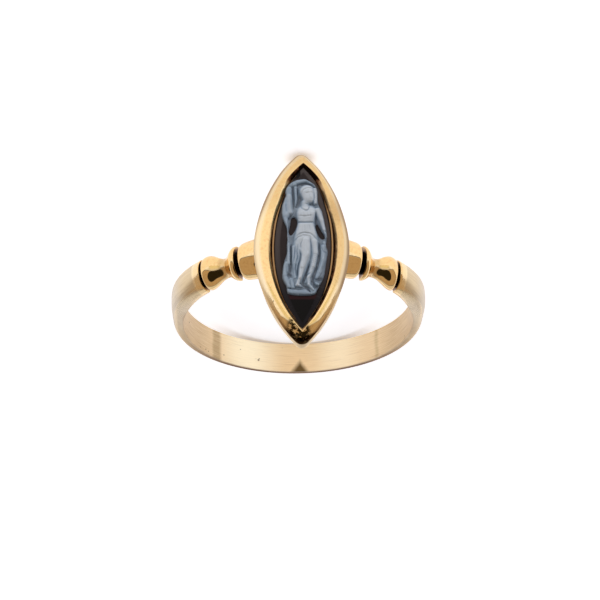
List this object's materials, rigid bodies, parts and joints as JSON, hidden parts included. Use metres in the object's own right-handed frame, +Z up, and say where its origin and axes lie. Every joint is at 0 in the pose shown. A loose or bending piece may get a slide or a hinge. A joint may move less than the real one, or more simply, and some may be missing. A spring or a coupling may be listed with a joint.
{
  "type": "cameo ring",
  "caption": "Gold finger ring with turned shoulders and a pointed oval bezel that holds a flat dark stone with a pale carved standing figure.",
  "frame": {"origin": "centre of the finger bore, halfway along the band's width", "axes": "+Z up with the ring lying as it rests, +Y towards the head, +X to the right of the carved figure; the finger's axis leans 19.75 degrees from +Z"},
  "size_m": [0.0192, 0.0215, 0.0151],
  "materials": {
    "gold": "warm yellow gold, polished on the bezel and shoulders, satin on the band",
    "dark_stone": "polished brown-black agate",
    "pale_stone": "finely carved bluish white agate, soft sheen"
  },
  "bodies": {
    "root": {"gold_ring": "gold", "cameo_ground": "dark_stone", "cameo_relief": "pale_stone"}
  },
  "joints": []
}
